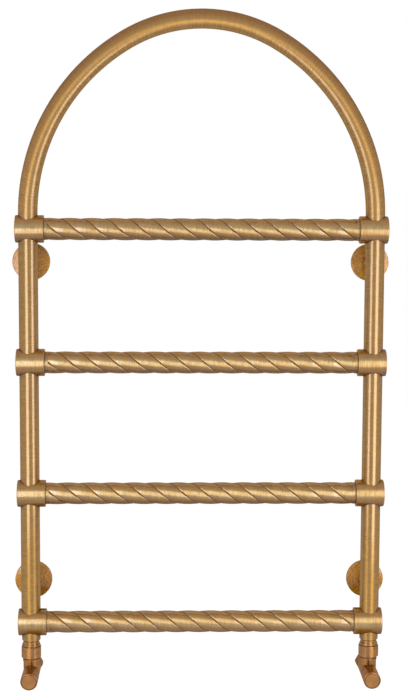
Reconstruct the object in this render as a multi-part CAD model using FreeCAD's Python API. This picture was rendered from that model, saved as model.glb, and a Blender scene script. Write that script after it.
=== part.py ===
import FreeCAD, Part
import math
import os

# Arched brass towel rail for a wall, fed with hot water through two angle valves.
# Millimetres. The origin is the middle of the four wall fixings, on the wall.
# +Z is up, +X runs to the right seen from the room, and the wall lies at y = 0 with the room at -Y.

V = FreeCAD.Vector
UP = V(0, 0, 1)
DOWN = V(0, 0, -1)
TO_WALL = V(0, 1, 0)
TO_ROOM = V(0, -1, 0)
RIGHT = V(1, 0, 0)
SIDES = {"left": -1, "right": 1}
LEVELS = {"upper": 1, "lower": -1}
FULL_TURN = 360.0

# Frame of tubes
UPRIGHT_SPACING = 570.0
TUBE_RADIUS = 16.0
TUBE_WALL = 1.5
WALL_DISTANCE = 68.0
RAIL_COUNT = 4
RAIL_PITCH = 220.0
ARCH_RISE = 340.0
ARCH_LEG = 24.0
ARCH_TURN = 60.0
BRAZING_GAP = 0.05

# Tees
TEE_RADIUS = 22.5
TEE_OUTER_REACH = 22.0
TEE_INNER_REACH = 26.0
TEE_DOME = 1.4
TEE_EDGE = 1.6
TEE_RIM_CHAMFER = 0.5
SOCKET_STOP = 6.0
WATERWAY_RADIUS = 13.0
RAIL_SOCKET_DEPTH = 7.0

# Rope-twist rails; each rail was turned to its own angle before it was brazed
RAIL_CREST_RADIUS = 18.2
RAIL_STRANDS = 3
STRAND_RADIUS = 15.8
STRAND_SHOULDER_RADIUS = 3.5
GROOVE_BOTTOM_RADIUS = 16.0
RAIL_LEAD = 110.0
RAIL_START_ANGLES = (-30.0, -10.0, -22.0, 33.0)
RAIL_END_RADIUS = 17.9
RAIL_END_SHOWN = 6.0
RAIL_BORE_RADIUS = 14.0

# Wall brackets
BRACKET_INSET = 57.0
POST_RADIUS = 10.0
POST_BORE_RADIUS = 7.0
PLATE_RADIUS = 24.0
PLATE_THICKNESS = 4.0
SPIGOT_LENGTH = 14.0
WALL_SCREW_HOLE_RADIUS = 3.3
COVER_RADIUS = 31.5
COVER_RIM = 5.0
COVER_DEPTH = 11.0
COVER_WALL = 1.2
COVER_BEVEL = 2.5
GRUB_RADIUS = 2.0
GRUB_KEY = 2.0
GRUB_KEY_DEPTH = 1.4

# Air vent at the back of the arch
VENT_COLLAR_RADIUS = 7.0
VENT_COLLAR_HEIGHT = 5.0
VENT_SHANK_RADIUS = 4.5
VENT_SHANK_DEPTH = 5.0
BLEED_RADIUS = 2.5
BLEED_HEAD = 5.0
BLEED_HEAD_LENGTH = 4.0

# Valve union, with heights from the spindle axis
VALVE_DROP = 86.0
TAIL_COLLAR_RADIUS = 15.5
TAIL_COLLAR_END = 55.5
TAIL_CHAMFER = 0.8
TAIL_NECK_RADIUS = 11.0
TAIL_FLANGE_RADIUS = 12.6
TAIL_FLANGE_TOP = 34.0
TAIL_BORE_RADIUS = 9.0
UNION_SEAT = 30.0
UNION_TOP = 54.5
UNION_LIP_RADIUS = 13.6
UNION_LIP_BOTTOM = 51.0
UNION_COLLAR_RADIUS = 15.3
UNION_COLLAR_TOP = 48.5
UNION_GROOVE_TOP = 45.8
UNION_GROOVE_RADIUS = 14.4
UNION_SHOULDER = 45.0
UNION_BOTTOM = 26.0
UNION_SIDES = 8
UNION_FLATS = 32.0
UNION_PLAY = 0.3

# Valve body, with depths from the upright's axis towards the wall
THREAD_RADIUS = 13.1
THREAD_GAP = 0.1
BODY_COLLAR_TOP = 23.5
BODY_COLLAR_BOTTOM = 19.5
BODY_COLLAR_RADIUS = 14.2
BODY_NECK_RADIUS = 13.4
BARREL_RADIUS = 14.0
BARREL_FRONT = -21.0
BARREL_BACK = 34.0
INLET_THREAD_RADIUS = 12.0
INLET_THREAD_END = 44.0
PIPE_RADIUS = 7.6
PIPE_STOP = 26.0
VALVE_SEAT = 8.0
SEAT_BORE_RADIUS = 6.0
CHAMBER_RADIUS = 10.5
NUT_FLATS = 28.0
NUT_FRONT = 35.0
NUT_BACK = 55.0
NUT_CHAMFER = 2.0
OLIVE_LENGTH = 5.0
OLIVE_RADIUS = 9.5
OLIVE_LEAD = 0.9
OLIVE_PLAY = 0.2

# Valve head, with depths from the upright's axis towards the wall
BONNET_BACK = -12.0
BONNET_FLANGE_RADIUS = 12.5
BONNET_FLANGE_END = -23.5
BONNET_NECK_RADIUS = 8.0
BONNET_END = -30.0
SPINDLE_RADIUS = 5.0
SPINDLE_FRONT = -50.0
SPINDLE_COLLAR_RADIUS = 7.0
SPINDLE_BACK = -9.5
SPINDLE_BORE_END = -26.0
RUNNING_GAP = 0.05
RING_PLACE = -18.0
RING_SECTION = 1.0
RING_GAP = 0.1
JUMPER_LIFT = 3.0
CLOSED_GAP = 0.05
WASHER_THICKNESS = 2.0
WASHER_RADIUS = 8.0
JUMPER_RADIUS = 8.6
JUMPER_THICKNESS = 3.0
JUMPER_SHANK_RADIUS = 3.5
JUMPER_SHANK_END = -20.0
JUMPER_STUD_RADIUS = 2.0
JUMPER_STUD_SHORT = 0.5
KNOB_RADIUS = 14.3
KNOB_FRONT = -58.0
KNOB_BACK = -24.5
KNOB_EDGE = 2.0
KNOB_RECESS_RADIUS = 8.6
KNOB_RECESS_END = -31.0
KNOB_SCREW_PLACE = -40.0
KNOB_SCREW_LENGTH = 7.0

HALF_SPACING = UPRIGHT_SPACING / 2
TOP_RAIL_Z = RAIL_PITCH * (RAIL_COUNT - 1) / 2
BRACKET_Z = TOP_RAIL_Z - BRACKET_INSET
VALVE_Z = -TOP_RAIL_Z - VALVE_DROP
TUBE_BORE = TUBE_RADIUS - TUBE_WALL
QUARTER_ARC = 1 - math.sqrt(0.5)


def upright_point(side, z):
    return V(SIDES[side] * HALF_SPACING, -WALL_DISTANCE, z)


def rail_height(number):
    return TOP_RAIL_Z - RAIL_PITCH * (number - 1)


def rod(radius, start, direction, length):
    return Part.makeCylinder(radius, length, start, direction)


def turned(base, axis, start, *steps):
    """Turned solid. Points are (along, radius), and a pair of them is an arc through the first."""
    edges = []
    here = V(start[1], 0, start[0])
    for step in steps + (start,):
        through = step[0] if isinstance(step[0], tuple) else None
        target = step[1] if through else step
        there = V(target[1], 0, target[0])
        if through:
            edges.append(Part.Arc(here, V(through[1], 0, through[0]), there).toShape())
        else:
            edges.append(Part.LineSegment(here, there).toShape())
        here = there
    solid = Part.Face(Part.Wire(edges)).revolve(V(0, 0, 0), UP, FULL_TURN)
    solid.Placement = FreeCAD.Placement(base, FreeCAD.Rotation(UP, axis))
    return solid


def ring(base, axis, inner, outer, start, end):
    return turned(base, axis, (start, inner), (start, outer), (end, outer), (end, inner))


def corner_radius(across_flats, sides):
    return across_flats / 2 / math.cos(math.pi / sides)


def prism(across_flats, sides, base, axis, length, first_corner=0.0):
    """Straight prism with flats, standing on its axis, with its first corner at an angle from X."""
    corner = corner_radius(across_flats, sides)
    angles = [math.radians(first_corner + FULL_TURN * k / sides) for k in range(sides + 1)]
    points = [V(corner * math.cos(angle), corner * math.sin(angle), 0) for angle in angles]
    solid = Part.Face(Part.makePolygon(points)).extrude(UP * length)
    solid.Placement = FreeCAD.Placement(base, FreeCAD.Rotation(UP, axis))
    return solid


# Arch: a straight leg out of each top tee, wide bends at the sides and a tighter one over the crown
def arch_radii():
    """Radii of the side bends and the crown with which the centre line meets the span and the rise."""
    turn = math.radians(ARCH_TURN)
    side_across = 1 - math.cos(turn)
    crown_across = math.cos(turn)
    side_rise = math.sin(turn)
    crown_rise = 1 - math.sin(turn)
    rise = ARCH_RISE - ARCH_LEG
    scale = side_across * crown_rise - crown_across * side_rise
    side = (HALF_SPACING * crown_rise - crown_across * rise) / scale
    crown = (side_across * rise - HALF_SPACING * side_rise) / scale
    return side, crown


def arch_rod(radius):
    """Round bar along the arch's centre line, from the shoulder in one top tee to that in the other."""
    side, crown = arch_radii()
    foot = upright_point("right", TOP_RAIL_Z + SOCKET_STOP)
    here = upright_point("right", TOP_RAIL_Z + ARCH_LEG)
    edges = [Part.LineSegment(foot, here).toShape()]
    turn = 0.0
    for bend, sweep in ((side, ARCH_TURN), (crown, FULL_TURN / 2 - 2 * ARCH_TURN), (side, ARCH_TURN)):
        spokes = [math.radians(turn + sweep * share) for share in (0, 0.5, 1)]
        arms = [V(math.cos(spoke), 0, math.sin(spoke)) * bend for spoke in spokes]
        centre = here - arms[0]
        edges.append(Part.Arc(here, centre + arms[1], centre + arms[2]).toShape())
        here = centre + arms[2]
        turn += sweep
    edges.append(Part.LineSegment(here, upright_point("left", TOP_RAIL_Z + SOCKET_STOP)).toShape())
    return Part.Wire(edges).makePipe(Part.Face(Part.Wire([Part.makeCircle(radius, foot, UP)])))


# Tees: turned bars with a domed outer end, cross-bored for the uprights and counterbored for the rail
def tee(side, number):
    centre = upright_point(side, rail_height(number))
    inward = RIGHT * -SIDES[side]
    crown = -TEE_OUTER_REACH
    shoulder = crown + TEE_DOME
    corner = TEE_EDGE * QUARTER_ARC
    body = turned(
        centre,
        inward,
        (crown, 0),
        ((crown + TEE_DOME / 4, TEE_RADIUS / 2), (shoulder, TEE_RADIUS - TEE_EDGE)),
        ((shoulder + corner, TEE_RADIUS - corner), (shoulder + TEE_EDGE, TEE_RADIUS)),
        (TEE_INNER_REACH - TEE_RIM_CHAMFER, TEE_RADIUS),
        (TEE_INNER_REACH, TEE_RADIUS - TEE_RIM_CHAMFER),
        (TEE_INNER_REACH, 0),
    )
    lower_radius = TAIL_COLLAR_RADIUS if number == RAIL_COUNT else TUBE_RADIUS
    rail_seat = centre + inward * (TEE_INNER_REACH - RAIL_SOCKET_DEPTH)
    return body.cut([
        rod(TUBE_RADIUS + BRAZING_GAP, centre + UP * SOCKET_STOP, UP, TEE_RADIUS),
        rod(lower_radius + BRAZING_GAP, centre + DOWN * SOCKET_STOP, DOWN, TEE_RADIUS),
        rod(WATERWAY_RADIUS, centre + DOWN * SOCKET_STOP, UP, 2 * SOCKET_STOP),
        rod(WATERWAY_RADIUS, centre, inward, TEE_INNER_REACH),
        rod(RAIL_END_RADIUS + BRAZING_GAP, rail_seat, inward, TEE_INNER_REACH),
    ])


# Uprights: plain tubes that stop on the shoulders inside the tees
def upright(side, number):
    top = upright_point(side, rail_height(number) - SOCKET_STOP)
    return ring(top, DOWN, TUBE_BORE, TUBE_RADIUS, 0, RAIL_PITCH - 2 * SOCKET_STOP)


# Rails: tube drawn with round-shouldered strands and sharp grooves between them, then twisted, with plain ends
def arm(length, angle):
    return V(0, length * math.cos(angle), length * math.sin(angle))


def mirrored(point):
    return V(point.x, point.y, -point.z)


def strand_outline():
    """One strand round +Y: a crest, and on each side a shoulder that is tangent to it and ends in the groove."""
    groove = arm(GROOVE_BOTTOM_RADIUS, math.pi / RAIL_STRANDS)
    middle = arm(RAIL_CREST_RADIUS - STRAND_RADIUS, 0)
    inset = STRAND_RADIUS - STRAND_SHOULDER_RADIUS
    span = groove - middle
    opposite = inset ** 2 + span.Length ** 2 - STRAND_SHOULDER_RADIUS ** 2
    start = math.atan2(span.z, span.y) - math.acos(opposite / (2 * inset * span.Length))
    crest_end = middle + arm(STRAND_RADIUS, start)
    shoulder = middle + arm(inset, start)
    end = math.atan2(groove.z - shoulder.z, groove.y - shoulder.y)
    halfway = shoulder + arm(STRAND_SHOULDER_RADIUS, (start + end) / 2)
    arcs = [
        Part.Arc(mirrored(groove), mirrored(halfway), mirrored(crest_end)),
        Part.Arc(mirrored(crest_end), arm(RAIL_CREST_RADIUS, 0), crest_end),
        Part.Arc(crest_end, halfway, groove),
    ]
    return [arc.toShape() for arc in arcs]


def rail_section():
    edges = []
    for strand in range(RAIL_STRANDS):
        for edge in strand_outline():
            edge.rotate(V(0, 0, 0), RIGHT, FULL_TURN * strand / RAIL_STRANDS)
            edges.append(edge)
    return Part.Wire(edges)


def twisted_rail(number):
    reach = HALF_SPACING - TEE_INNER_REACH + RAIL_SOCKET_DEPTH
    end_length = RAIL_END_SHOWN + RAIL_SOCKET_DEPTH
    twist_reach = reach - end_length
    start = RIGHT * -twist_reach
    section = rail_section()
    section.rotate(V(0, 0, 0), RIGHT, RAIL_START_ANGLES[number - 1])
    section.translate(start)
    spine = Part.Wire([Part.LineSegment(start, RIGHT * twist_reach).toShape()])
    guide = Part.makeHelix(RAIL_LEAD, 2 * twist_reach, RAIL_CREST_RADIUS)
    guide.rotate(V(0, 0, 0), TO_WALL, FULL_TURN / 4)
    guide.translate(start)
    twist = Part.BRepOffsetAPI.MakePipeShell(spine)
    twist.setAuxiliarySpine(Part.Wire(guide.Edges), True, 0)
    twist.add(section)
    twist.build()
    twist.makeSolid()
    rail = twist.shape().fuse([
        rod(RAIL_END_RADIUS, RIGHT * -reach, RIGHT, end_length),
        rod(RAIL_END_RADIUS, RIGHT * twist_reach, RIGHT, end_length),
    ])
    rail = rail.cut(rod(RAIL_BORE_RADIUS, RIGHT * -reach, RIGHT, 2 * reach))
    rail.translate(V(0, -WALL_DISTANCE, rail_height(number)))
    return rail


# Wall brackets: screwed plate with a spigot, hollow post brazed to the upright, domed cover over the plate
def wall_point(side, level):
    return V(SIDES[side] * HALF_SPACING, 0, LEVELS[level] * BRACKET_Z)


def grub_seat(side, level):
    return wall_point(side, level) + TO_ROOM * (PLATE_THICKNESS + SPIGOT_LENGTH - 2 * GRUB_RADIUS)


def wall_plate(side, level):
    spigot_radius = POST_BORE_RADIUS - BRAZING_GAP
    return turned(
        wall_point(side, level),
        TO_ROOM,
        (0, WALL_SCREW_HOLE_RADIUS),
        (0, PLATE_RADIUS),
        (PLATE_THICKNESS, PLATE_RADIUS),
        (PLATE_THICKNESS, spigot_radius),
        (PLATE_THICKNESS + SPIGOT_LENGTH, spigot_radius),
        (PLATE_THICKNESS + SPIGOT_LENGTH, WALL_SCREW_HOLE_RADIUS),
    )


def wall_post(side, level):
    wall = wall_point(side, level)
    upright_foot = wall + TO_ROOM * WALL_DISTANCE + DOWN * TUBE_RADIUS
    post = ring(wall, TO_ROOM, POST_BORE_RADIUS, POST_RADIUS, PLATE_THICKNESS, WALL_DISTANCE)
    return post.cut([
        rod(TUBE_RADIUS + BRAZING_GAP, upright_foot, UP, 2 * TUBE_RADIUS),
        rod(GRUB_RADIUS + BRAZING_GAP, grub_seat(side, level), DOWN, 2 * POST_RADIUS),
    ])


def flange_cover(side, level):
    hole = POST_RADIUS + BRAZING_GAP
    shoulder = COVER_RADIUS - COVER_BEVEL
    middle = (hole + shoulder) / 2
    bulge = COVER_RIM + (COVER_DEPTH - COVER_RIM) * 2 / 3
    return turned(
        wall_point(side, level),
        TO_ROOM,
        (0, COVER_RADIUS - COVER_WALL),
        (0, COVER_RADIUS),
        (COVER_RIM - COVER_BEVEL, COVER_RADIUS),
        (COVER_RIM, shoulder),
        ((bulge, middle), (COVER_DEPTH, hole)),
        (COVER_DEPTH - COVER_WALL, hole),
        ((bulge - COVER_WALL, middle), (COVER_RIM - COVER_WALL, shoulder)),
        (COVER_RIM - COVER_BEVEL, COVER_RADIUS - COVER_WALL),
    )


def grub_screw(side, level):
    seat = grub_seat(side, level)
    screw = rod(GRUB_RADIUS, seat + DOWN * POST_BORE_RADIUS, DOWN, POST_RADIUS - POST_BORE_RADIUS)
    key_base = seat + DOWN * (POST_RADIUS - GRUB_KEY_DEPTH)
    return screw.cut(prism(GRUB_KEY, 6, key_base, DOWN, GRUB_KEY_DEPTH))


# Air vent: a plug in the back of the arch at its highest point, with a square-headed bleed screw
VENT_POINT = V(0, TUBE_RADIUS - WALL_DISTANCE, TOP_RAIL_Z + ARCH_RISE)
VENT_INNER_END = VENT_POINT + TO_ROOM * VENT_SHANK_DEPTH


def vent_hole():
    return rod(VENT_SHANK_RADIUS + BRAZING_GAP, VENT_INNER_END, TO_WALL, 2 * VENT_SHANK_DEPTH)


def air_vent_plug(arch):
    length = VENT_SHANK_DEPTH + VENT_COLLAR_HEIGHT
    collar = rod(VENT_COLLAR_RADIUS, VENT_INNER_END, TO_WALL, length).cut(arch)
    shank = rod(VENT_SHANK_RADIUS, VENT_INNER_END, TO_WALL, length)
    return collar.fuse(shank).cut(rod(BLEED_RADIUS, VENT_INNER_END, TO_WALL, length))


def bleed_screw():
    length = VENT_SHANK_DEPTH + VENT_COLLAR_HEIGHT + RUNNING_GAP
    shank = rod(BLEED_RADIUS - RUNNING_GAP, VENT_INNER_END, TO_WALL, length)
    return shank.fuse(prism(BLEED_HEAD, 4, VENT_INNER_END + TO_WALL * length, TO_WALL, BLEED_HEAD_LENGTH))


# Valve union: a tail brazed into the bottom tee, and the nut that pulls it down on the valve body
def valve_tail(centre):
    top = VALVE_DROP - SOCKET_STOP
    return turned(
        centre,
        UP,
        (top, TAIL_BORE_RADIUS),
        (top, TAIL_COLLAR_RADIUS),
        (TAIL_COLLAR_END + TAIL_CHAMFER, TAIL_COLLAR_RADIUS),
        (TAIL_COLLAR_END, TAIL_COLLAR_RADIUS - TAIL_CHAMFER),
        (TAIL_COLLAR_END, TAIL_NECK_RADIUS),
        (TAIL_FLANGE_TOP, TAIL_NECK_RADIUS),
        (TAIL_FLANGE_TOP, TAIL_FLANGE_RADIUS),
        (UNION_SEAT, TAIL_FLANGE_RADIUS),
        (UNION_SEAT, TAIL_BORE_RADIUS),
    )


def union_nut(centre):
    """Eight-sided nut with a turned collar and a groove above the flats, and flats to the front and sides."""
    corner = corner_radius(UNION_FLATS, UNION_SIDES)
    chamfer = corner - UNION_FLATS / 2
    seat = TAIL_FLANGE_TOP + UNION_PLAY
    thread = THREAD_RADIUS + THREAD_GAP
    blank = turned(
        centre,
        UP,
        (UNION_BOTTOM, thread),
        (UNION_BOTTOM, UNION_FLATS / 2),
        (UNION_BOTTOM + chamfer, corner),
        (UNION_SHOULDER - chamfer, corner),
        (UNION_SHOULDER, UNION_FLATS / 2),
        (UNION_SHOULDER, UNION_GROOVE_RADIUS),
        (UNION_GROOVE_TOP, UNION_GROOVE_RADIUS),
        (UNION_GROOVE_TOP, UNION_COLLAR_RADIUS),
        (UNION_COLLAR_TOP, UNION_COLLAR_RADIUS),
        (UNION_LIP_BOTTOM, UNION_LIP_RADIUS),
        (UNION_TOP, UNION_LIP_RADIUS),
        (UNION_TOP, TAIL_NECK_RADIUS + UNION_PLAY),
        (seat, TAIL_NECK_RADIUS + UNION_PLAY),
        (seat, thread),
    )
    return blank.common(prism(UNION_FLATS, UNION_SIDES, centre, UP, UNION_TOP, FULL_TURN / UNION_SIDES / 2))


# Valve body: an elbow with the union above, the pipe socket at the back and the valve seat in between
def valve_body(centre):
    neck = turned(
        centre,
        UP,
        (0, 0),
        (0, BODY_NECK_RADIUS),
        (BODY_COLLAR_BOTTOM, BODY_NECK_RADIUS),
        (BODY_COLLAR_BOTTOM, BODY_COLLAR_RADIUS),
        (BODY_COLLAR_TOP, BODY_COLLAR_RADIUS),
        (BODY_COLLAR_TOP, THREAD_RADIUS),
        (UNION_SEAT, THREAD_RADIUS),
        (UNION_SEAT, 0),
    )
    barrel = turned(
        centre,
        TO_WALL,
        (BARREL_FRONT, 0),
        (BARREL_FRONT, BARREL_RADIUS),
        (BARREL_BACK, BARREL_RADIUS),
        (BARREL_BACK, INLET_THREAD_RADIUS),
        (INLET_THREAD_END, INLET_THREAD_RADIUS),
        (INLET_THREAD_END, 0),
    )
    passage = turned(
        centre,
        TO_WALL,
        (BARREL_FRONT, 0),
        (BARREL_FRONT, CHAMBER_RADIUS),
        (VALVE_SEAT, CHAMBER_RADIUS),
        (VALVE_SEAT, SEAT_BORE_RADIUS),
        (PIPE_STOP, SEAT_BORE_RADIUS),
        (PIPE_STOP, PIPE_RADIUS),
        (INLET_THREAD_END, PIPE_RADIUS),
        (INLET_THREAD_END, 0),
    )
    outlet = rod(TAIL_BORE_RADIUS, centre, UP, UNION_SEAT)
    return neck.fuse(barrel).cut([passage, outlet])


def compression_nut(centre):
    corner = corner_radius(NUT_FLATS, 6)
    thread = INLET_THREAD_RADIUS + THREAD_GAP
    pocket = INLET_THREAD_END + OLIVE_PLAY
    pocket_end = pocket + OLIVE_LENGTH + OLIVE_PLAY
    blank = turned(
        centre,
        TO_WALL,
        (NUT_FRONT, thread),
        (NUT_FRONT, corner - NUT_CHAMFER),
        (NUT_FRONT + NUT_CHAMFER / 2, corner),
        (NUT_BACK - NUT_CHAMFER, corner),
        (NUT_BACK, NUT_FLATS / 2 - NUT_CHAMFER / 2),
        (NUT_BACK, PIPE_RADIUS),
        (pocket_end, PIPE_RADIUS),
        (pocket_end, OLIVE_RADIUS + OLIVE_PLAY),
        (pocket, OLIVE_RADIUS + OLIVE_PLAY),
        (pocket, thread),
    )
    return blank.common(prism(NUT_FLATS, 6, centre, TO_WALL, NUT_BACK))


def olive(centre):
    start = INLET_THREAD_END + OLIVE_PLAY
    end = start + OLIVE_LENGTH
    return turned(
        centre,
        TO_WALL,
        (start, PIPE_RADIUS),
        (start, OLIVE_RADIUS - OLIVE_LEAD),
        ((start + OLIVE_LENGTH / 2, OLIVE_RADIUS), (end, OLIVE_RADIUS - OLIVE_LEAD)),
        (end, PIPE_RADIUS),
    )


# Valve head: the bonnet holds a spindle that turns in place and drives the jumper on its inner thread
def bonnet(centre):
    bore = SPINDLE_RADIUS + RUNNING_GAP
    half_groove = RING_SECTION + RING_GAP
    groove_radius = SPINDLE_RADIUS + RING_GAP + 2 * RING_SECTION + RING_GAP
    blank = turned(
        centre,
        TO_WALL,
        (BONNET_END, bore),
        (BONNET_END, BONNET_NECK_RADIUS),
        (BONNET_FLANGE_END, BONNET_NECK_RADIUS),
        (BONNET_FLANGE_END, BONNET_FLANGE_RADIUS),
        (BARREL_FRONT, BONNET_FLANGE_RADIUS),
        (BARREL_FRONT, CHAMBER_RADIUS - BRAZING_GAP),
        (BONNET_BACK, CHAMBER_RADIUS - BRAZING_GAP),
        (BONNET_BACK, bore),
    )
    groove_start = RING_PLACE - half_groove
    return blank.cut(ring(centre, TO_WALL, 0, groove_radius, groove_start, groove_start + 2 * half_groove))


def spindle_ring(centre):
    place = centre + TO_WALL * RING_PLACE
    return Part.makeTorus(SPINDLE_RADIUS + RING_GAP + RING_SECTION, RING_SECTION, place, TO_WALL)


def spindle(centre):
    collar = BONNET_BACK + RUNNING_GAP
    bore = JUMPER_SHANK_RADIUS + RUNNING_GAP
    return turned(
        centre,
        TO_WALL,
        (SPINDLE_FRONT, 0),
        (SPINDLE_FRONT, SPINDLE_RADIUS),
        (collar, SPINDLE_RADIUS),
        (collar, SPINDLE_COLLAR_RADIUS),
        (SPINDLE_BACK, SPINDLE_COLLAR_RADIUS),
        (SPINDLE_BACK, bore),
        (SPINDLE_BORE_END, bore),
        (SPINDLE_BORE_END, 0),
    )


WASHER_BACK = VALVE_SEAT - JUMPER_LIFT - CLOSED_GAP
WASHER_FRONT = WASHER_BACK - WASHER_THICKNESS


def jumper(centre):
    disc_front = WASHER_FRONT - JUMPER_THICKNESS
    stud_end = WASHER_BACK - JUMPER_STUD_SHORT
    return turned(
        centre,
        TO_WALL,
        (JUMPER_SHANK_END, 0),
        (JUMPER_SHANK_END, JUMPER_SHANK_RADIUS),
        (disc_front, JUMPER_SHANK_RADIUS),
        (disc_front, JUMPER_RADIUS),
        (WASHER_FRONT, JUMPER_RADIUS),
        (WASHER_FRONT, JUMPER_STUD_RADIUS),
        (stud_end, JUMPER_STUD_RADIUS),
        (stud_end, 0),
    )


def jumper_washer(centre):
    inner = JUMPER_STUD_RADIUS + BRAZING_GAP
    return ring(centre, TO_WALL, inner, WASHER_RADIUS, WASHER_FRONT, WASHER_BACK)


def handwheel(centre):
    corner = KNOB_EDGE * QUARTER_ARC
    bore = SPINDLE_RADIUS + BRAZING_GAP
    knob = turned(
        centre,
        TO_WALL,
        (KNOB_FRONT, 0),
        (KNOB_FRONT, KNOB_RADIUS - KNOB_EDGE),
        ((KNOB_FRONT + corner, KNOB_RADIUS - corner), (KNOB_FRONT + KNOB_EDGE, KNOB_RADIUS)),
        (KNOB_BACK, KNOB_RADIUS),
        (KNOB_BACK, KNOB_RECESS_RADIUS),
        (KNOB_RECESS_END, KNOB_RECESS_RADIUS),
        (KNOB_RECESS_END, bore),
        (SPINDLE_FRONT, bore),
        (SPINDLE_FRONT, 0),
    )
    screw_place = centre + TO_WALL * KNOB_SCREW_PLACE
    return knob.cut(rod(GRUB_RADIUS + BRAZING_GAP, screw_place, DOWN, KNOB_RADIUS))


def handwheel_screw(centre):
    top = centre + TO_WALL * KNOB_SCREW_PLACE + DOWN * (SPINDLE_RADIUS + BRAZING_GAP)
    screw = rod(GRUB_RADIUS, top, DOWN, KNOB_SCREW_LENGTH)
    key_base = top + DOWN * (KNOB_SCREW_LENGTH - GRUB_KEY_DEPTH)
    return screw.cut(prism(GRUB_KEY, 6, key_base, DOWN, GRUB_KEY_DEPTH))


VALVE_PIECES = {
    "valve_tail": valve_tail,
    "union_nut": union_nut,
    "valve_body": valve_body,
    "compression_nut": compression_nut,
    "olive": olive,
    "bonnet": bonnet,
    "spindle_ring": spindle_ring,
    "spindle": spindle,
    "jumper": jumper,
    "jumper_washer": jumper_washer,
    "handwheel": handwheel,
    "handwheel_screw": handwheel_screw,
}
BRACKET_PIECES = {"wall_plate": wall_plate, "wall_post": wall_post, "flange_cover": flange_cover}


def build():
    arch = arch_rod(TUBE_RADIUS)
    pieces = {
        "arch_tube": arch.cut([arch_rod(TUBE_BORE), vent_hole()]),
        "air_vent_plug": air_vent_plug(arch),
        "bleed_screw": bleed_screw(),
    }
    for number in range(1, RAIL_COUNT + 1):
        pieces[f"twisted_rail_{number}"] = twisted_rail(number)
    for side in SIDES:
        for number in range(1, RAIL_COUNT + 1):
            pieces[f"{side}_tee_{number}"] = tee(side, number)
        for number in range(1, RAIL_COUNT):
            pieces[f"{side}_upright_{number}"] = upright(side, number)
        for name, make in VALVE_PIECES.items():
            pieces[f"{side}_{name}"] = make(upright_point(side, VALVE_Z))
    grubs = []
    for level in LEVELS:
        for side in SIDES:
            grubs.append(grub_screw(side, level))
            for name, make in BRACKET_PIECES.items():
                pieces[f"{level}_{side}_{name}"] = make(side, level)
    pieces["post_grub_screws"] = Part.makeCompound(grubs)
    return pieces


os.makedirs("parts", exist_ok=True)
for piece_name, shape in build().items():
    solids = shape.Solids
    shape = solids[0] if len(solids) == 1 else Part.makeCompound(solids)
    shape.exportStep(os.path.join("parts", piece_name + ".step"))
    print(piece_name, len(solids), shape.isValid(), round(shape.Volume, 1))
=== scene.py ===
import math

import bmesh
import bpy
from mathutils import Matrix, Vector


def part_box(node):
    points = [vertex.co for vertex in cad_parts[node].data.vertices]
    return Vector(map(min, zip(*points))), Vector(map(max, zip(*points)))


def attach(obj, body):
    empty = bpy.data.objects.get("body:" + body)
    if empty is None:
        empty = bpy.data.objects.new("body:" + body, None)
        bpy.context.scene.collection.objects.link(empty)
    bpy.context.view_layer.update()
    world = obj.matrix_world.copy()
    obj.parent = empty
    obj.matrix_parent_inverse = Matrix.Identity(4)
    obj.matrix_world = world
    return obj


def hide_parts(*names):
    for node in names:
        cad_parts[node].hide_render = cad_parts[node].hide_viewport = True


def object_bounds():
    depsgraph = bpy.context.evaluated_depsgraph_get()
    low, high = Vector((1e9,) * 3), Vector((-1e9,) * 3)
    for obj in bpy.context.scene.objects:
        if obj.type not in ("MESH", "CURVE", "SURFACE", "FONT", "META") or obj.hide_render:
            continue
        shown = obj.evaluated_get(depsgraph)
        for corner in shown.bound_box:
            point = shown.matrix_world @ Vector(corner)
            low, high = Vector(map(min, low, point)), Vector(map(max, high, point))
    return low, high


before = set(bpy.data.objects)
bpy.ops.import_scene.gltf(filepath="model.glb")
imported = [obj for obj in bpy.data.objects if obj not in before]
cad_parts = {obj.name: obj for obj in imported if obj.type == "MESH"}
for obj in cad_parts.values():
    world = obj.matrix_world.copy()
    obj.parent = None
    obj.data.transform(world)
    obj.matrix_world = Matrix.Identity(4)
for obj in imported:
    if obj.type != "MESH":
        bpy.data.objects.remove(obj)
cad_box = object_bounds()


# Wall plates and screws: turned steel discs with a spigot, screwed to the wall under the covers.
# Zinc plated, with the grub screws that lock the posts on them and the ones under the knobs.
SIDES = ("left", "right")
FIXINGS = [f"{level}_{side}" for level in ("upper", "lower") for side in SIDES]
STEEL_GRAINS = 700
STEEL_SHADE = 0.75
STEEL_ROUGHNESS = (0.35, 0.5)
NARROW_MIDDLE = (0.35, 0.65)
WIDE_MIDDLE = (0.3, 0.7)


def on_sides(*names):
    return [f"{side}_{name}" for side in SIDES for name in names]


def add_node(tree, kind, inputs=(), **settings):
    """A new node with its settings, its constants and the links into it."""
    node = tree.nodes.new(kind)
    for key, value in settings.items():
        setattr(node, key, value)
    for key, value in dict(inputs).items():
        if isinstance(value, bpy.types.NodeSocket):
            tree.links.new(value, node.inputs[key])
        else:
            node.inputs[key].default_value = value
    return node


def new_finish(name, **sockets):
    """A material with its shader, and the constants of that shader set on its own sockets."""
    material = bpy.data.materials.new(name)
    material.use_nodes = True
    shader = material.node_tree.nodes["Principled BSDF"]
    for key, value in sockets.items():
        shader.inputs[key.replace("_", " ").title().replace("Ior", "IOR")].default_value = value
    return material, material.node_tree, shader


def blend_colours(tree, factor, first, second):
    mix = add_node(tree, "ShaderNodeMix", {0: factor, 6: first, 7: second}, data_type="RGBA")
    return mix.outputs[2]


def spread(tree, value, low, high, to_low=0.0, to_high=1.0):
    """Stretches one range of a value over another and holds it at both ends."""
    inputs = {"Value": value, "From Min": low, "From Max": high, "To Min": to_low, "To Max": to_high}
    return add_node(tree, "ShaderNodeMapRange", inputs).outputs["Result"]


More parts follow.
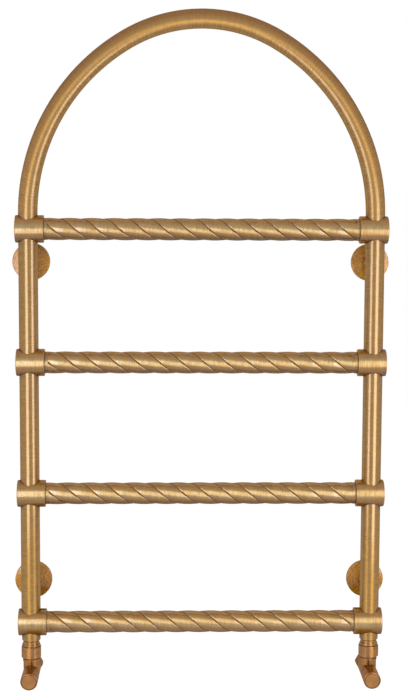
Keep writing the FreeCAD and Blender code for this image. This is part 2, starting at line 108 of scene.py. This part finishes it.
def noise(tree, place, detail=3.0, roughness=0.55):
    inputs = {"Vector": place, "Scale": 1.0, "Detail": detail, "Roughness": roughness}
    return add_node(tree, "ShaderNodeTexNoise", inputs).outputs["Fac"]


def object_place(tree):
    return add_node(tree, "ShaderNodeTexCoord").outputs["Object"]


def scaled_place(tree, scale):
    inputs = {"Vector": object_place(tree), "Scale": scale}
    return add_node(tree, "ShaderNodeMapping", inputs).outputs["Vector"]


def dress(material, *names):
    for name in names:
        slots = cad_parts[name].data.materials
        slots.clear()
        slots.append(material)


def plated_steel(name, colour):
    material, tree, shader = new_finish(name, metallic=1.0)
    grain = noise(tree, scaled_place(tree, [STEEL_GRAINS] * 3))
    dark = [STEEL_SHADE * part for part in colour]
    tint = blend_colours(tree, spread(tree, grain, *NARROW_MIDDLE), (*dark, 1), (*colour, 1))
    tree.links.new(tint, shader.inputs["Base Color"])
    tree.links.new(spread(tree, grain, *WIDE_MIDDLE, *STEEL_ROUGHNESS), shader.inputs["Roughness"])
    return material


zinc = plated_steel("zinc_plated_steel", (0.55, 0.55, 0.54))
dress(zinc, *[f"{fixing}_wall_plate" for fixing in FIXINGS])
black_steel = plated_steel("blackened_steel", (0.12, 0.12, 0.12))
dress(black_steel, "post_grub_screws", *on_sides("handwheel_screw"))


# Wall posts: short brass tubes brazed to the uprights and slipped over the plates' spigots.
# Brushed round and round, aged brown, rubbed back along the brushing and lacquered.
LINE_WIDTH = 0.0012
LINE_LENGTH = 0.012
LINE_DEPTH = 0.0001
LINE_STRENGTH = 0.04
FULL_SHINE = 0.8
GROUND = (0.43, 0.178, 0.003)
PALE = (0.61, 0.363, 0.036)
PATINA_AND_SHADE = (0.50, 0.42, 0.35)
# Corners darken, partly from polish left there and partly as painted shade.
GRIME_AND_SHADE = 0.20
GRIMY_AND_SHADED_CORNERS = (0.40, 0.85)
EDGE_TINT = (0.50, 0.36, 0.20, 1)
QUARTER_TURN = 0.25
FILM_ROUGHNESS = 0.13
FILM_IOR = 3.0
RAYS = 6


def lines_across(axis):
    """Fine streaks that run round a bar along the named axis."""
    scale = [1 / LINE_LENGTH] * 3
    scale["XYZ".index(axis)] = 1 / LINE_WIDTH
    return lambda tree: scaled_place(tree, scale)


def round_axis(axis):
    """The direction round the named axis."""
    return lambda tree: add_node(tree, "ShaderNodeTangent", direction_type="RADIAL", axis=axis).outputs[0]


def number_math(tree, operation, *values, **settings):
    inputs = dict(enumerate(values))
    return add_node(tree, "ShaderNodeMath", inputs, operation=operation, **settings).outputs[0]


def aged_brass(name, lines, tangent, ground=GROUND, pale=PALE, grain=1.0, roughness=(0.62, 0.52),
               lacquer=0.25, ripple=0.00007, blotch=0.012, mottle=(0.42, 0.94), patina_and_shade=PATINA_AND_SHADE,
               eased=0.0005, corner=0.005, paling_and_darkening=None, crowned=None):
    """Antique brass, pale along the brushed lines, dark in patches, under a lacquer film, and darkened in
    corners, partly by polish left there and partly as painted shade.

    lines, tangent, rubbed and crowned are functions of the node tree.
    """
    material, tree, shader = new_finish(
        name, metallic=1.0, anisotropic=grain, anisotropic_rotation=QUARTER_TURN, specular_tint=EDGE_TINT,
        coat_weight=lacquer, coat_roughness=FILM_ROUGHNESS, coat_ior=FILM_IOR,
    )
    streaks = noise(tree, lines(tree), detail=4.0, roughness=0.7)
    blotches = noise(tree, scaled_place(tree, [1 / blotch] * 3), detail=5.0, roughness=0.65)
    dull = spread(tree, blotches, *mottle)
    shine = spread(tree, streaks, *WIDE_MIDDLE, 0.0, FULL_SHINE)
    # Optional masks that make some places paler and others darker; on the tees and rails they paint a
    # highlight across the front and shade underneath.
    if paling_and_darkening:
        paling, undarkened = paling_and_darkening(tree)
        shine = number_math(tree, "MULTIPLY", shine, paling)
        dull = number_math(tree, "MAXIMUM", dull, number_math(tree, "SUBTRACT", 1.0, undarkened))
    # This dark colour serves both the patina patches and painted shade.
    dark = [part * share for part, share in zip(ground, patina_and_shade)]
    tint = blend_colours(tree, dull, (*ground, 1), (*dark, 1))
    tint = blend_colours(tree, shine, tint, (*pale, 1))
    # Painted shade, with polish left in them: corners and joints darken where ambient occlusion finds them.
    corners = add_node(tree, "ShaderNodeAmbientOcclusion", {"Distance": corner}, samples=RAYS).outputs["AO"]
    grime_and_shade = [GRIME_AND_SHADE * part for part in ground]
    tint = blend_colours(tree, spread(tree, corners, *GRIMY_AND_SHADED_CORNERS), (*grime_and_shade, 1), tint)
    tree.links.new(tint, shader.inputs["Base Color"])
    tree.links.new(spread(tree, shine, 0.0, FULL_SHINE, *roughness), shader.inputs["Roughness"])
    edge = add_node(tree, "ShaderNodeBevel", {"Radius": eased}, samples=RAYS).outputs["Normal"]
    if crowned:
        edge = crowned(tree, edge)
    bump = {"Height": streaks, "Strength": LINE_STRENGTH, "Distance": LINE_DEPTH, "Normal": edge}
    tree.links.new(add_node(tree, "ShaderNodeBump", bump).outputs["Normal"], shader.inputs["Normal"])
    film = {"Height": streaks, "Distance": ripple, "Normal": edge}
    tree.links.new(add_node(tree, "ShaderNodeBump", film).outputs["Normal"], shader.inputs["Coat Normal"])
    tree.links.new(tangent(tree), shader.inputs["Tangent"])
    return material


post_brass = aged_brass("post_brass", lines_across("Y"), round_axis("Y"))
dress(post_brass, *[f"{fixing}_wall_post" for fixing in FIXINGS])


# Flange covers: thin dished discs spun from sheet brass, slid along the posts against the wall.
# The spinning leaves rings on them, and the dish is darker and more mottled than the tubes.
cover_low, cover_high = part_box("upper_right_flange_cover")
cover_axis = (cover_low + cover_high) / 2
COVER_RADIUS = (cover_high.x - cover_low.x) / 2
COVER_DEPTH = cover_high.y - cover_low.y
COVER_HOLE = 0.01005
COVER_SHEET = 0.0012
COVER_STEPS = 96
RIM_DEPTH = 0.72 * COVER_DEPTH
SHOULDER_RADIUS = 0.97 * COVER_RADIUS
SHOULDER_DEPTH = 0.76 * COVER_DEPTH
DISH_RADIUS = 0.62 * COVER_RADIUS
DISH_DEPTH = 0.90 * COVER_DEPTH
HOLE_DEPTH = 0.97 * COVER_DEPTH
INNER_RADIUS = COVER_RADIUS - COVER_SHEET
INNER_DEPTH = 0.75 * COVER_DEPTH - COVER_SHEET
RIM_ROUNDING = 0.0005
RIM_SEGMENTS = 3
DISH_ROUNDING = 0.007
DISH_SEGMENTS = 6
SAME_PLACE = 1e-6
SHARP_ANGLE = math.radians(30)
ACROSS_Y = (1.0, 0.0, 1.0)


def vector_math(tree, operation, *values):
    node = add_node(tree, "ShaderNodeVectorMath", dict(enumerate(values)), operation=operation)
    return node.outputs["Value" if operation in ("LENGTH", "DOT_PRODUCT") else "Vector"]


def split(tree, vector):
    return add_node(tree, "ShaderNodeSeparateXYZ", {0: vector}).outputs


def join(tree, **parts):
    return add_node(tree, "ShaderNodeCombineXYZ", parts).outputs[0]


def across_axis(tree, centre):
    """Offset from an axis along Y, taken at the same place in each quarter of the frame."""
    return vector_math(tree, "SUBTRACT", vector_math(tree, "ABSOLUTE", object_place(tree)), centre)


def reach_from(tree, offset):
    """Distance from an axis along Y."""
    return vector_math(tree, "LENGTH", vector_math(tree, "MULTIPLY", offset, ACROSS_Y))


def turned_lines(centre):
    """Fine rings round axes along Y."""
    def place(tree):
        offset = across_axis(tree, centre)
        rings = number_math(tree, "SUBTRACT", reach_from(tree, offset), split(tree, offset)["Y"])
        return join(tree, X=number_math(tree, "MULTIPLY", rings, 1 / LINE_WIDTH))
    return place


flange_brass = aged_brass(
    "flange_brass", turned_lines((cover_axis.x, 0, cover_axis.z)), round_axis("Y"),
    ground=(0.48, 0.200, 0.008), pale=(0.46, 0.235, 0.035), grain=0.3, roughness=(0.64, 0.54), lacquer=0.13,
    ripple=0.00004, blotch=0.0031, mottle=(0.46, 0.55), patina_and_shade=(0.29, 0.22, 0.13),
)


def flange_cover(fixing):
    """Upright rim, a rounded shoulder and a shallow dish up to the hole for the post, spun from one line."""
    node = f"{fixing}_flange_cover"
    low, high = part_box(node)
    middle = (low + high) / 2
    outline = [
        (COVER_RADIUS, 0.0),
        (COVER_RADIUS, RIM_DEPTH),
        (SHOULDER_RADIUS, SHOULDER_DEPTH),
        (DISH_RADIUS, DISH_DEPTH),
        (COVER_HOLE, HOLE_DEPTH),
        (COVER_HOLE, HOLE_DEPTH - COVER_SHEET),
        (DISH_RADIUS, DISH_DEPTH - COVER_SHEET),
        (INNER_RADIUS, INNER_DEPTH),
        (INNER_RADIUS, 0.0),
    ]
    work = bmesh.new()
    points = [work.verts.new((middle.x + reach, high.y - depth, middle.z)) for reach, depth in outline]
    for here, there in zip(points, points[1:] + points[:1]):
        work.edges.new((here, there))
    roundings = (
        (points[1:3], RIM_ROUNDING, RIM_SEGMENTS),
        ([points[3], points[6]], DISH_ROUNDING, DISH_SEGMENTS),
    )
    for bends, rounding, segments in roundings:
        bmesh.ops.bevel(work, geom=bends, offset=rounding, affect="VERTICES", segments=segments, profile=0.5,
                        material=-1)
    bmesh.ops.spin(work, geom=work.verts[:] + work.edges[:], cent=(middle.x, 0, middle.z), axis=(0, 1, 0),
                   angle=2 * math.pi, steps=COVER_STEPS, use_merge=True)
    bmesh.ops.remove_doubles(work, verts=work.verts, dist=SAME_PLACE)
    bmesh.ops.recalc_face_normals(work, faces=work.faces)
    mesh = bpy.data.meshes.new(f"{fixing}_flange_dish")
    work.to_mesh(mesh)
    work.free()
    mesh.polygons.foreach_set("use_smooth", [True] * len(mesh.polygons))
    mesh.set_sharp_from_angle(angle=SHARP_ANGLE)
    mesh.materials.append(flange_brass)
    cover = bpy.data.objects.new(mesh.name, mesh)
    bpy.context.scene.collection.objects.link(cover)
    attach(cover, "frame")
    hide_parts(node)


for fixing in FIXINGS:
    flange_cover(fixing)


# Uprights: plain drawn tubes cut to length between the tees and brazed into them.
# Brushed round and round, so that lamps show on them as upright strips with clean edges.
upright_brass = aged_brass("upright_brass", lines_across("Z"), round_axis("Z"))
dress(upright_brass, *on_sides("upright_1", "upright_2", "upright_3"))


# Tees: turned brass bars, cross-bored for the uprights, with a slightly domed outer end.
# The rails stop in their inner ends, and the brushing runs round them. A paler band across the front and a
# little above is a painted highlight, and the darker undersides are painted shade.
# Where the painted highlight band lies on the front, and where the painted shade starts underneath.
SHEEN_TILT = math.radians(6)
SHEEN_DIRECTION = (0.0, -math.cos(SHEEN_TILT), math.sin(SHEEN_TILT))
SHEEN_FACING = (0.91, 0.995)
SHEEN_PALING = (0.4, 1.5)
UNDERSIDE = (-0.85, 0.0)
UNDERSIDE_UNSHADED = (0.15, 1.0)


def surface_normal(tree):
    return add_node(tree, "ShaderNodeNewGeometry").outputs["Normal"]


def painted_sheen_and_shade(tree):
    """Two masks: a painted highlight, strongest across the front and a little above, and painted shade,
    which darkens the undersides.
    """
    normal = surface_normal(tree)
    facing = vector_math(tree, "DOT_PRODUCT", normal, SHEEN_DIRECTION)
    paling = spread(tree, facing, *SHEEN_FACING, *SHEEN_PALING)
    undarkened = spread(tree, split(tree, normal)["Z"], *UNDERSIDE, *UNDERSIDE_UNSHADED)
    return paling, undarkened


tee_brass = aged_brass(
    "tee_brass", lines_across("X"), round_axis("X"), ground=(0.52, 0.222, 0.003), pale=(0.60, 0.47, 0.22),
    lacquer=0.21, ripple=0.00005, paling_and_darkening=painted_sheen_and_shade,
)
dress(tee_brass, *on_sides("tee_1", "tee_2", "tee_3", "tee_4"))


# Rope rails: tubes drawn with round-shouldered strands and sharp grooves, twisted and brazed into the tees.
# The fronts of the strands are painted paler as a highlight and their undersides darker as shade, and the
# grooves stay dark.
RAILS = [f"twisted_rail_{number}" for number in (1, 2, 3, 4)]
rail_low, rail_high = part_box(RAILS[0])
second_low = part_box(RAILS[1])[0]
RAIL_PITCH = rail_low.z - second_low.z
RAIL_AXIS = (rail_low + rail_high) / 2
CREST_RADIUS = (rail_high.z - rail_low.z) / 2
GROOVE_FLANK = (0.90 * CREST_RADIUS, 0.94 * CREST_RADIUS)


def crest_sheen_and_shade(tree):
    """The painted highlight and painted shade of the tees, on the strands only; the grooves are darkened all
    over.
    """
    parts = split(tree, vector_math(tree, "SUBTRACT", object_place(tree), RAIL_AXIS))
    height = number_math(tree, "WRAP", parts["Z"], RAIL_PITCH / 2, -RAIL_PITCH / 2)
    reach = vector_math(tree, "LENGTH", join(tree, X=height, Y=parts["Y"]))
    crest = spread(tree, reach, *GROOVE_FLANK)
    return [number_math(tree, "MULTIPLY", crest, part) for part in painted_sheen_and_shade(tree)]


rail_brass = aged_brass(
    "rail_brass", lines_across("X"), round_axis("X"), ground=(0.55, 0.240, 0.003), pale=(0.60, 0.50, 0.27),
    lacquer=0.21, ripple=0.00005, mottle=(0.46, 0.98), patina_and_shade=(0.34, 0.27, 0.20), paling_and_darkening=crest_sheen_and_shade,
)
dress(rail_brass, *RAILS)


# Arch: one tube bent over a former, brazed into the top tees, with the air vent at its highest point.
# It is brushed round the tube all the way, so the lines follow the bend.
tee_low, tee_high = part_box("left_tee_1")
arch_low, arch_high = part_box("arch_tube")
ARCH_CENTRE = Vector((0, 0, (tee_low.z + tee_high.z) / 2))
TUBE_RADIUS = (arch_high.y - arch_low.y) / 2
ARCH_HALF_SPAN = arch_high.x - TUBE_RADIUS
ARCH_RISE = arch_high.z - ARCH_CENTRE.z - TUBE_RADIUS
ARCH_SIZE = (ARCH_HALF_SPAN, 1.0, ARCH_RISE)
ARCH_SLOPE = (1 / ARCH_HALF_SPAN, 0.0, 1 / ARCH_RISE)
MEAN_BEND = (ARCH_HALF_SPAN + ARCH_RISE) / 2
TO_WALL = (0.0, 1.0, 0.0)
TOP_TILT = (0.0, 0.5)
TOP_PALING = (1.0, 0.3)
TOP_UNDARKENED = (1.0, 0.6)


def arch_place(tree):
    """Object coordinates in which the bent centre line is close to a circle of radius one."""
    shifted = vector_math(tree, "SUBTRACT", object_place(tree), ARCH_CENTRE)
    return vector_math(tree, "DIVIDE", shifted, ARCH_SIZE)


def arch_lines(tree):
    """Fine streaks that run round the bent tube."""
    parts = split(tree, arch_place(tree))
    turn = number_math(tree, "ARCTAN2", parts["Z"], parts["X"])
    along = number_math(tree, "MULTIPLY", turn, MEAN_BEND / LINE_WIDTH)
    across = number_math(tree, "MULTIPLY", parts["Y"], 1 / LINE_LENGTH)
    return join(tree, X=along, Y=across)


def arch_tangent(tree):
    """The direction round the tube, square to the bend and to the surface."""
    slope = vector_math(tree, "MULTIPLY", arch_place(tree), ARCH_SLOPE)
    bend = vector_math(tree, "NORMALIZE", vector_math(tree, "CROSS_PRODUCT", slope, TO_WALL))
    return vector_math(tree, "CROSS_PRODUCT", bend, surface_normal(tree))


def arch_top_dulling(tree):
    """Less pale and darker on top."""
    height = split(tree, surface_normal(tree))["Z"]
    return spread(tree, height, *TOP_TILT, *TOP_PALING), spread(tree, height, *TOP_TILT, *TOP_UNDARKENED)


arch_brass = aged_brass(
    "arch_brass", arch_lines, arch_tangent, ground=(0.39, 0.146, 0.003), pale=(0.56, 0.388, 0.126),
    grain=0.9, roughness=(0.60, 0.50), lacquer=0.16, ripple=0.00013, paling_and_darkening=arch_top_dulling,
)
dress(arch_brass, "arch_tube")
vent_brass = aged_brass("vent_brass", lines_across("Y"), round_axis("Y"))
dress(vent_brass, "air_vent_plug", "bleed_screw")


# Valve unions: tails brazed into the bottom tees and eight-sided nuts that pull them on the valve bodies.
# The nuts are machined from bar, redder than the tubes, and polishing has rounded their flats a little.
tail_brass = aged_brass("tail_brass", lines_across("Z"), round_axis("Z"), corner=0.012)
dress(tail_brass, *on_sides("valve_tail"))
nut_low, nut_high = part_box("right_union_nut")
UNION_AXIS = (nut_low + nut_high) / 2
CROWNING = 0.7
FLAT_TILT = (0.1, 0.5)


def blend_vectors(tree, factor, first, second):
    mix = add_node(tree, "ShaderNodeMix", {0: factor, 4: first, 5: second}, data_type="VECTOR")
    return mix.outputs[1]


def crowned_flats(tree, normal):
    """The surface's direction, turned on the flats towards straight out from the nut's axis."""
    parts = split(tree, across_axis(tree, (UNION_AXIS.x, 0, 0)))
    side_sign = number_math(tree, "SIGN", split(tree, object_place(tree))["X"])
    across = number_math(tree, "MULTIPLY", parts["X"], side_sign)
    depth = number_math(tree, "SUBTRACT", -UNION_AXIS.y, parts["Y"])
    outward = vector_math(tree, "NORMALIZE", join(tree, X=across, Y=depth))
    tilt = number_math(tree, "ABSOLUTE", split(tree, normal)["Z"])
    share = spread(tree, tilt, *FLAT_TILT, CROWNING, 0.0)
    return vector_math(tree, "NORMALIZE", blend_vectors(tree, share, normal, outward))


union_brass = aged_brass(
    "union_brass", lines_across("Z"), round_axis("Z"), ground=(0.26, 0.091, 0.005), pale=(0.42, 0.20, 0.036),
    roughness=(0.40, 0.30), lacquer=0.20, eased=0.0008, corner=0.010, crowned=crowned_flats,
)
dress(union_brass, *on_sides("union_nut"))


# Valve bodies and heads: forged elbows with the pipe nut at the wall and the head in front.
# The knob is a plain turned cap locked on the spindle, and the seals inside are rubber.
knob_low, knob_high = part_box("right_handwheel")
knob_axis = (knob_low + knob_high) / 2
KNOB_RADIUS = (knob_high.x - knob_low.x) / 2
RING_INSIDE = (0.79 * KNOB_RADIUS, 0.84 * KNOB_RADIUS)
RING_OUTSIDE = (0.89 * KNOB_RADIUS, 0.94 * KNOB_RADIUS)
FRONT_TILT = (-0.8, -0.2)
BARREL_CENTRE = (knob_axis.x, 0, -knob_axis.z)
BARREL_RADIUS = 0.014
NECK_START = 1.02 * BARREL_RADIUS
COPPERY = {"ground": (0.27, 0.092, 0.005), "pale": (0.39, 0.18, 0.03), "lacquer": 0.15, "eased": 0.0008,
           "corner": 0.010, "patina_and_shade": (0.30, 0.25, 0.20)}
RUBBER_GRAINS = 900
RUBBER_DARK = (0.015, 0.015, 0.015, 1)
RUBBER_PALE = (0.04, 0.04, 0.04, 1)
barrel_lines = turned_lines(BARREL_CENTRE)


def knob_face_ring(tree):
    """A thin darker ring round the knob's face."""
    reach = reach_from(tree, across_axis(tree, BARREL_CENTRE))
    facing = split(tree, surface_normal(tree))["Y"]
    ring = spread(tree, reach, *RING_INSIDE)
    ring = number_math(tree, "MULTIPLY", ring, spread(tree, reach, *RING_OUTSIDE, 1.0, 0.0))
    ring = number_math(tree, "MULTIPLY", ring, spread(tree, facing, *FRONT_TILT, 1.0, 0.0))
    undarkened = number_math(tree, "SUBTRACT", 1.0, ring)
    return undarkened, undarkened


barrel_brass = aged_brass(
    "barrel_brass", barrel_lines, round_axis("Y"), grain=0.5, roughness=(0.44, 0.34), paling_and_darkening=knob_face_ring,
    **COPPERY,
)
dress(barrel_brass, *on_sides("bonnet", "spindle", "jumper", "handwheel"))


def by_neck(of_barrel, of_neck):
    """One vector on the body's barrel and another on its upright neck, which stands clear of the barrel."""
    def place(tree):
        reach = reach_from(tree, across_axis(tree, BARREL_CENTRE))
        share = spread(tree, reach, BARREL_RADIUS, NECK_START)
        return blend_vectors(tree, share, of_barrel(tree), of_neck(tree))
    return place


body_brass = aged_brass(
    "body_brass", by_neck(barrel_lines, lines_across("Z")), by_neck(round_axis("Y"), round_axis("Z")),
    grain=0.7, roughness=(0.36, 0.26), **COPPERY,
)
dress(body_brass, *on_sides("valve_body"))
pipe_nut_brass = aged_brass(
    "pipe_nut_brass", barrel_lines, round_axis("Y"), ground=(0.20, 0.066, 0.005), pale=(0.34, 0.15, 0.03),
    grain=0.5, roughness=(0.44, 0.34), lacquer=0.14, eased=0.0008,
)
dress(pipe_nut_brass, *on_sides("compression_nut", "olive"))

rubber, rubber_tree, rubber_shader = new_finish("seal_rubber", roughness=0.7)
rubber_grain = noise(rubber_tree, scaled_place(rubber_tree, [RUBBER_GRAINS] * 3))
rubber_tint = blend_colours(rubber_tree, rubber_grain, RUBBER_DARK, RUBBER_PALE)
rubber_tree.links.new(rubber_tint, rubber_shader.inputs["Base Color"])
dress(rubber, *on_sides("spindle_ring", "jumper_washer"))


# Studio: a pale floor below the rail, a white surround and two tall soft lamps in front, left and right.
# The surround and the floor look white to the camera and in the metal.
WHITE = (1, 1, 1, 1)
FLOOR_GREY = (0.35, 0.35, 0.35, 1)
FLOOR_GLOW = 0.90
FLOOR_DROP = 0.15
FLOOR_SIZE = 8.0
SURROUND_LIGHT = 0.2
LAMP_AIM = Vector((0, -0.068, 0.0))
LAMP_SIZE = (0.47, 0.80)
LAMP_RADIANCE = 4.6
LAMPS = {"left_lamp": Vector((-0.56, -0.95, 0.0)), "right_lamp": Vector((0.64, -0.80, 0.0))}
cad_low = cad_box[0]


def seen_ray(tree):
    """One for what the camera sees, straight or in metal and glass, and nought for other light."""
    path = add_node(tree, "ShaderNodeLightPath").outputs
    total = number_math(tree, "ADD", path["Is Camera Ray"], path["Is Glossy Ray"])
    return number_math(tree, "ADD", total, path["Is Transmission Ray"], use_clamp=True)


bpy.ops.mesh.primitive_plane_add(size=FLOOR_SIZE, location=(0, 0, cad_low.z - FLOOR_DROP))
floor = bpy.context.object
floor.name = "floor"
floor_paint, floor_tree, floor_shader = new_finish(
    "floor_paint", base_color=FLOOR_GREY, roughness=0.9, emission_color=WHITE,
)
floor_glow = spread(floor_tree, seen_ray(floor_tree), 0.0, 1.0, 0.0, FLOOR_GLOW)
floor_tree.links.new(floor_glow, floor_shader.inputs["Emission Strength"])
floor.data.materials.append(floor_paint)

world = bpy.data.worlds.new("studio")
world.use_nodes = True
bpy.context.scene.world = world
surround = world.node_tree.nodes["Background"]
surround.inputs["Color"].default_value = WHITE
surround_level = spread(world.node_tree, seen_ray(world.node_tree), 0.0, 1.0, SURROUND_LIGHT, 1.0)
world.node_tree.links.new(surround_level, surround.inputs["Strength"])

for lamp_name, lamp_place in LAMPS.items():
    lamp = bpy.data.lights.new(lamp_name, "AREA")
    lamp.shape = "RECTANGLE"
    lamp.size, lamp.size_y = LAMP_SIZE
    lamp.energy = LAMP_RADIANCE * math.pi * LAMP_SIZE[0] * LAMP_SIZE[1]
    holder = bpy.data.objects.new(lamp_name, lamp)
    holder.visible_camera = False
    facing = (lamp_place - LAMP_AIM).to_track_quat("Z", "Y").to_matrix().to_4x4()
    holder.matrix_world = Matrix.Translation(lamp_place) @ facing
    bpy.context.scene.collection.objects.link(holder)


# Camera: a little above the rail's middle, turned slightly right and tilted down as in the photograph.
# Its place, its angles and its lens come from a fit to edges measured there.
CAMERA_PLACE = Vector((-0.0677, -2.669, 0.432))
CAMERA_PAN = math.radians(-1.58)
CAMERA_TILT = math.radians(90 - 6.60)
CAMERA_ROLL = math.radians(0.25)
FOCAL_PIXELS = 1582.9
PICTURE_HEIGHT = 700
camera = bpy.data.objects.new("camera", bpy.data.cameras.new("camera"))
camera.data.lens = FOCAL_PIXELS / PICTURE_HEIGHT * camera.data.sensor_width
turn = Matrix.Rotation(CAMERA_PAN, 4, "Z") @ Matrix.Rotation(CAMERA_TILT, 4, "X")
camera.matrix_world = Matrix.Translation(CAMERA_PLACE) @ turn @ Matrix.Rotation(CAMERA_ROLL, 4, "Z")
bpy.context.scene.collection.objects.link(camera)
bpy.context.scene.camera = camera
bpy.context.scene.view_settings.view_transform = "Standard"
